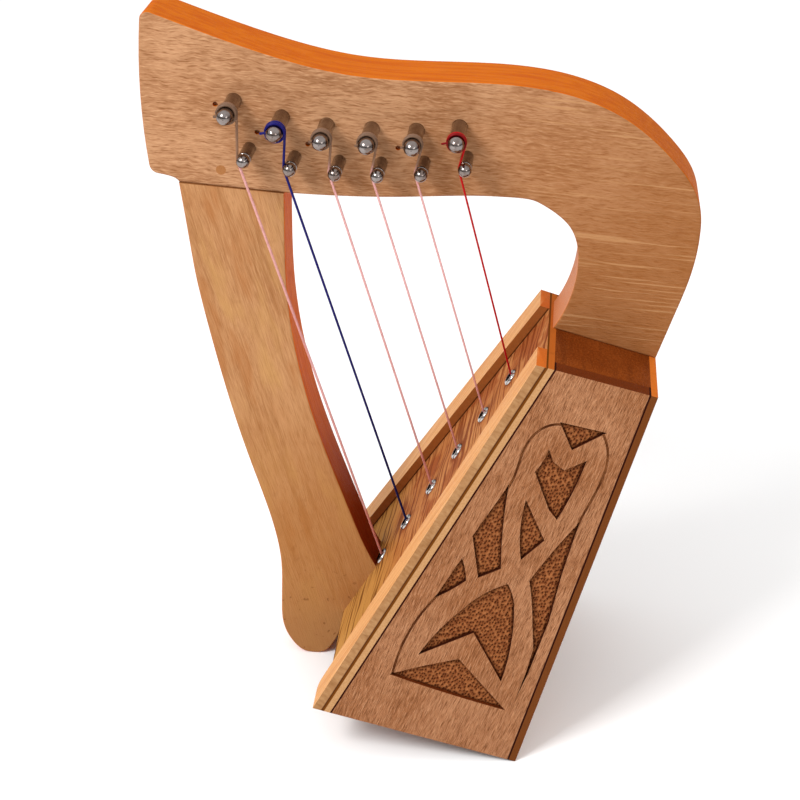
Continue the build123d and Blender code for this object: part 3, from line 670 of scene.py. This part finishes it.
def string_path(number, radius, coil, end_y):
    """The string's line from under its knot to the tuning pin, the knot's place, and the angle at
    which the string meets the pin."""
    pin_x, _, pin_z = middle_of(f"tuning_pin_{number}")
    bridge_x, _, bridge_z = middle_of(f"bridge_pin_{number}")
    row_y = middle_of(f"grommet_{number}")[1]
    grommet_top = reach(f"grommet_{number}", OUT_BOARD)[1]
    grommet_mid = sum(reach(f"grommet_{number}", UP_BOARD)) / 2
    knot_out = reach(f"string_{number}", OUT_BOARD)[0] + 1.6 * MM
    groove_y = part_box(f"bridge_pin_{number}")[0].y + GROOVE_FROM_END
    lip_turn = LIP_ROUND + radius + 2 * GAP
    groove_turn = BRIDGE_RADIUS - GROOVE_DEPTH + radius + GAP
    wheels = [
        (*board_point(grommet_mid, knot_out), 0.0),
        (*board_point(grommet_mid + LIP_FROM_MIDDLE, grommet_top - LIP_ROUND), -lip_turn),
        (bridge_x, bridge_z, -groove_turn),
        (pin_x, pin_z, coil),
    ]
    runs = [tangent_line(a, b) for a, b in zip(wheels, wheels[1:])]
    lip_corner, groove_corner = meeting(runs[0], runs[1]), meeting(runs[1], runs[2])
    end = runs[2][1][1]
    knot = Vector((wheels[0][0], row_y, wheels[0][1]))
    lip = Vector((lip_corner[0], row_y, lip_corner[1]))
    groove = Vector((groove_corner[0], groove_y, groove_corner[1]))
    touch = Vector((end[0], end_y, end[1]))
    path = [
        knot - OUT_BOARD * 3.2 * MM + UP_BOARD * 0.9 * MM,
        knot - OUT_BOARD * 1.6 * MM + UP_BOARD * 0.2 * MM,
        knot,
    ]
    path += rounded_corner(knot, lip, groove, lip_turn)
    path += rounded_corner(lip, groove, touch, groove_turn)
    return path, knot, math.atan2(touch.z - pin_z, touch.x - pin_x)


def still_turn_path(pin, coil, first_angle, end_y):
    """The string's last round on the tuning pin, which stays where it is."""
    points = []
    for step in range(STILL_STEPS + 1):
        angle = first_angle + STILL_TURN * step / STILL_STEPS
        x, z = pin[0] + coil * math.cos(angle), pin[2] + coil * math.sin(angle)
        points.append(Vector((x, end_y, z)))
    return points


def knot_path(knot):
    points = []
    for step in range(KNOT_STEPS + 1):
        t = 2 * math.pi * step / KNOT_STEPS
        up = (math.sin(t) + 2 * math.sin(2 * t)) * KNOT_LOOP
        sideways = (math.cos(t) - 2 * math.cos(2 * t)) * KNOT_LOOP
        out = math.sin(3 * t) * KNOT_DEPTH
        points.append(knot + UP_BOARD * up + ACROSS * sideways - OUT_BOARD * out)
    return points


def winding_path(number, pin, coil, diameter, first_angle, end_y):
    """The slightly uneven coil that turns with the tuning pin."""
    turn_pitch = 1.03 * diameter * MM
    coil_start = end_y - 1.07 * diameter * MM
    points = []
    for step in range(WINDING_STEPS + 1):
        share = step / WINDING_STEPS
        angle = first_angle + STILL_TURN + 0.3 + 2 * math.pi * WINDING_TURNS * share
        y = coil_start - turn_pitch * WINDING_TURNS * share
        uneven = coil + 0.05 * MM * math.sin(9 * share + number)
        x, z = pin[0] + uneven * math.cos(angle), pin[2] + uneven * math.sin(angle)
        points.append(Vector((x, y, z)))
    return points


def tail_path(pin, hole_y, length):
    """The string's end, which comes out of the pin's hole. The length is from the pin's middle."""
    pin_x, _, pin_z = pin
    entry = Vector((pin_x + 1.5 * MM, hole_y, pin_z))
    leaving = Vector((pin_x - 2.6 * MM, hole_y, pin_z))
    tail_end = Vector((pin_x - length, hole_y, pin_z - 0.4 * MM))
    return [entry, leaving, (entry + tail_end * 4) / 5 + UP * 0.2 * MM, tail_end]


for number, diameter in enumerate(DIAMETERS, 1):
    finish = STRING_FINISH[number - 1]
    slot = f"{finish}_nylon"
    coloured = finish != "clear"
    radius = diameter / 2 * MM
    coil = PIN_RADIUS + radius + GAP
    pitch = 0.94 * diameter * MM
    pin = middle_of(f"tuning_pin_{number}")
    hole_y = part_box(f"string_winding_{number}")[0].y + radius
    # The two coloured strings are wound hard against the pin's domed end
    forward = 1.25 * MM if coloured else 0.0
    end_y = hole_y + 2.9 * pitch + diameter * MM + 2 * GAP - forward

    path, knot, first_angle = string_path(number, radius, coil, end_y)
    path += still_turn_path(pin, coil, first_angle, end_y)
    shape = joined(tube(path, radius), tube(knot_path(knot), radius * 0.95))
    made = add_piece(f"string_{number}_nylon", *shape, finish, "frame", slot)
    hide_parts(f"string_{number}")

    path = winding_path(number, pin, coil, diameter, first_angle, end_y)
    tail = tail_path(pin, hole_y, 4.5 * MM if coloured else 3.6 * MM)
    shape = joined(tube(path, radius), tube(tail, radius))
    finish = WINDING_FINISH[finish]
    made = add_piece(f"winding_{number}_nylon", *shape, finish, f"tuner_{number}", slot)
    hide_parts(f"string_winding_{number}")


# Punched ground of the carving: a sheet just over each hollow's floor, with a mark for each punch.
# It rises between the marks, and less near the hollow's wall, so that the carving's painted shade,
# which deepens with depth, is darker there
GRID_STEP = 0.25 * MM
HOLLOW_DEPTH = 2.0 * MM
LOWEST, MARK_RISE, ROUGH_RISE = 0.12 * MM, 0.72 * MM, 0.1 * MM
MARK_EDGE = 0.62
FULL_RISE_FROM_WALL = 1.1 * MM
MARK_LONG, MARK_WIDE = 1.35 * MM, 0.95 * MM
MARK_SHIFT = np.random.default_rng(7).uniform(-0.34, 0.34, (89, 97, 2))


def beside(mask, combine):
    """The four neighbours of every grid point, combined."""
    padded = np.pad(mask, 1)
    along_u = combine(padded[:-2, 1:-1], padded[2:, 1:-1])
    along_v = combine(padded[1:-1, :-2], padded[1:-1, 2:])
    return combine(along_u, along_v)


def punch_marks(us, vs):
    """How far each point lies from the middle of the nearest punch mark, in marks."""
    rows = np.round(vs / MARK_WIDE).astype(int)
    nearest = np.full(us.shape, 9.0)
    for row_step in (-1, 0, 1):
        row = rows + row_step
        half = 0.5 * (row % 2)
        columns = np.round(us / MARK_LONG - half).astype(int)
        for column_step in (-1, 0, 1):
            column = columns + column_step
            shift = MARK_SHIFT[row % 89, column % 97]
            along = us / MARK_LONG - column - half - shift[..., 0]
            beside_it = vs / MARK_WIDE - row - shift[..., 1]
            nearest = np.minimum(nearest, np.hypot(along, beside_it))
    return nearest


def dented_ground(name, node, along, out, finish):
    points = mesh_points(node)
    down = np.array(along.cross(out))
    up, normal = np.array(along), np.array(out)
    floor = (points @ normal).max() - HOLLOW_DEPTH
    triangles = []
    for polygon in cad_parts[node].data.polygons:
        corners = points[list(polygon.vertices)]
        if np.all(np.abs(corners @ normal - floor) < 2e-5):
            triangles.append(np.stack([corners @ up, corners @ down], axis=1))
    outline = np.concatenate(triangles)
    lowest, highest = outline.min(0) - GRID_STEP * 3, outline.max(0) + GRID_STEP * 3
    us, vs = (np.arange(low, high, GRID_STEP) for low, high in zip(lowest, highest))
    grid_u, grid_v = np.meshgrid(us, vs, indexing="ij")
    inside = np.zeros(grid_u.shape, bool)
    for a, b, c in triangles:
        area = (b[0] - a[0]) * (c[1] - a[1]) - (b[1] - a[1]) * (c[0] - a[0])
        if abs(area) < 1e-14:
            continue
        s = ((grid_u - a[0]) * (c[1] - a[1]) - (grid_v - a[1]) * (c[0] - a[0])) / area
        t = ((b[0] - a[0]) * (grid_v - a[1]) - (b[1] - a[1]) * (grid_u - a[0])) / area
        inside |= (s >= 0) & (t >= 0) & (s + t <= 1)
    # How many grid steps each point lies from the hollow's wall, and one step into the wall itself
    rim = np.zeros(grid_u.shape, int)
    left = inside.copy()
    for _ in range(5):
        left = left & beside(left, np.logical_and)
        rim += left
    wide = inside | beside(inside, np.logical_or)
    marks = punch_marks(grid_u, grid_v + 0.15 * grid_u)
    index = -np.ones(grid_u.shape, int)
    vertices = []
    for i, j in zip(*np.nonzero(wide)):
        u, v = grid_u[i, j], grid_v[i, j]
        rise = min(1.0, marks[i, j] / MARK_EDGE)
        rise = rise * rise * (3 - 2 * rise)
        rough = noise.noise(Vector((u, v, 0)) * 2200)
        level = min(1.0, 0.25 + rim[i, j] * GRID_STEP / FULL_RISE_FROM_WALL)
        height = LOWEST + (MARK_RISE * rise + ROUGH_RISE * rough) * level
        index[i, j] = len(vertices)
        vertices.append(up * u + down * v + normal * (floor + height))
    faces = []
    for i, j in zip(*np.nonzero(wide[:-1, :-1])):
        square = (index[i, j], index[i + 1, j], index[i + 1, j + 1], index[i, j + 1])
        if min(square) >= 0:
            faces.append(square)
    return add_piece(name, vertices, faces, finish, "frame", "panel_wood")


dented_ground("carved_ground_near", "side_panel_near", NEAR_ALONG, NEAR_OUT, "panel_near")
dented_ground("carved_ground_far", "side_panel_far", FAR_ALONG, FAR_OUT, "panel_far")


# Floor, light and sky
def staged_floor():
    graph = Graph("floor_pale")
    speck = graph.noise(graph.place, 3.0)
    pale = graph.mix(speck, (0.95, 0.95, 0.95, 1), (0.92, 0.92, 0.92, 1))
    graph.set(base_color=pale, roughness=0.9)
    half = 14.0
    corners = [(-half, -half, 0), (half, -half, 0), (half, half, 0), (-half, half, 0)]
    data = bpy.data.meshes.new("floor")
    data.from_pydata(corners, [], [(0, 1, 2, 3)])
    data.materials.append(graph.material)
    made = bpy.data.objects.new("floor", data)
    bpy.context.scene.collection.objects.link(made)


def soft_light(name, place, aim, size, power):
    lamp = bpy.data.lights.new(name, "AREA")
    lamp.shape = "RECTANGLE"
    lamp.size, lamp.size_y = size
    lamp.energy = power
    made = bpy.data.objects.new(name, lamp)
    bpy.context.scene.collection.objects.link(made)
    made.location = place
    made.rotation_euler = (Vector(aim) - Vector(place)).to_track_quat("-Z", "Y").to_euler()


def sky():
    """Bright overhead, and dim at the horizon and below it."""
    world = bpy.data.worlds.new("sky")
    world.use_nodes = True
    tree = world.node_tree
    coords = tree.nodes.new("ShaderNodeTexCoord")
    split = tree.nodes.new("ShaderNodeSeparateXYZ")
    ramp = tree.nodes.new("ShaderNodeMapRange")
    ramp.interpolation_type = "SMOOTHSTEP"
    ends = {"From Min": 0.0, "From Max": 0.55, "To Min": 0.12, "To Max": 1.08}
    for socket, value in ends.items():
        ramp.inputs[socket].default_value = value
    tree.links.new(coords.outputs["Generated"], split.inputs[0])
    tree.links.new(split.outputs["Z"], ramp.inputs["Value"])
    background = tree.nodes["Background"]
    background.inputs["Color"].default_value = (1, 1, 1, 1)
    tree.links.new(ramp.outputs[0], background.inputs["Strength"])
    bpy.context.scene.world = world


staged_floor()
soft_light("key", (-0.5, -0.6, 0.85), (0, 0, 0.12), (0.35, 0.35), 8.5)
soft_light("fill", (0.6, -0.8, 0.5), (0, 0, 0.1), (0.4, 0.3), 1.2)
sky()
bpy.context.scene.view_settings.view_transform = "Standard"
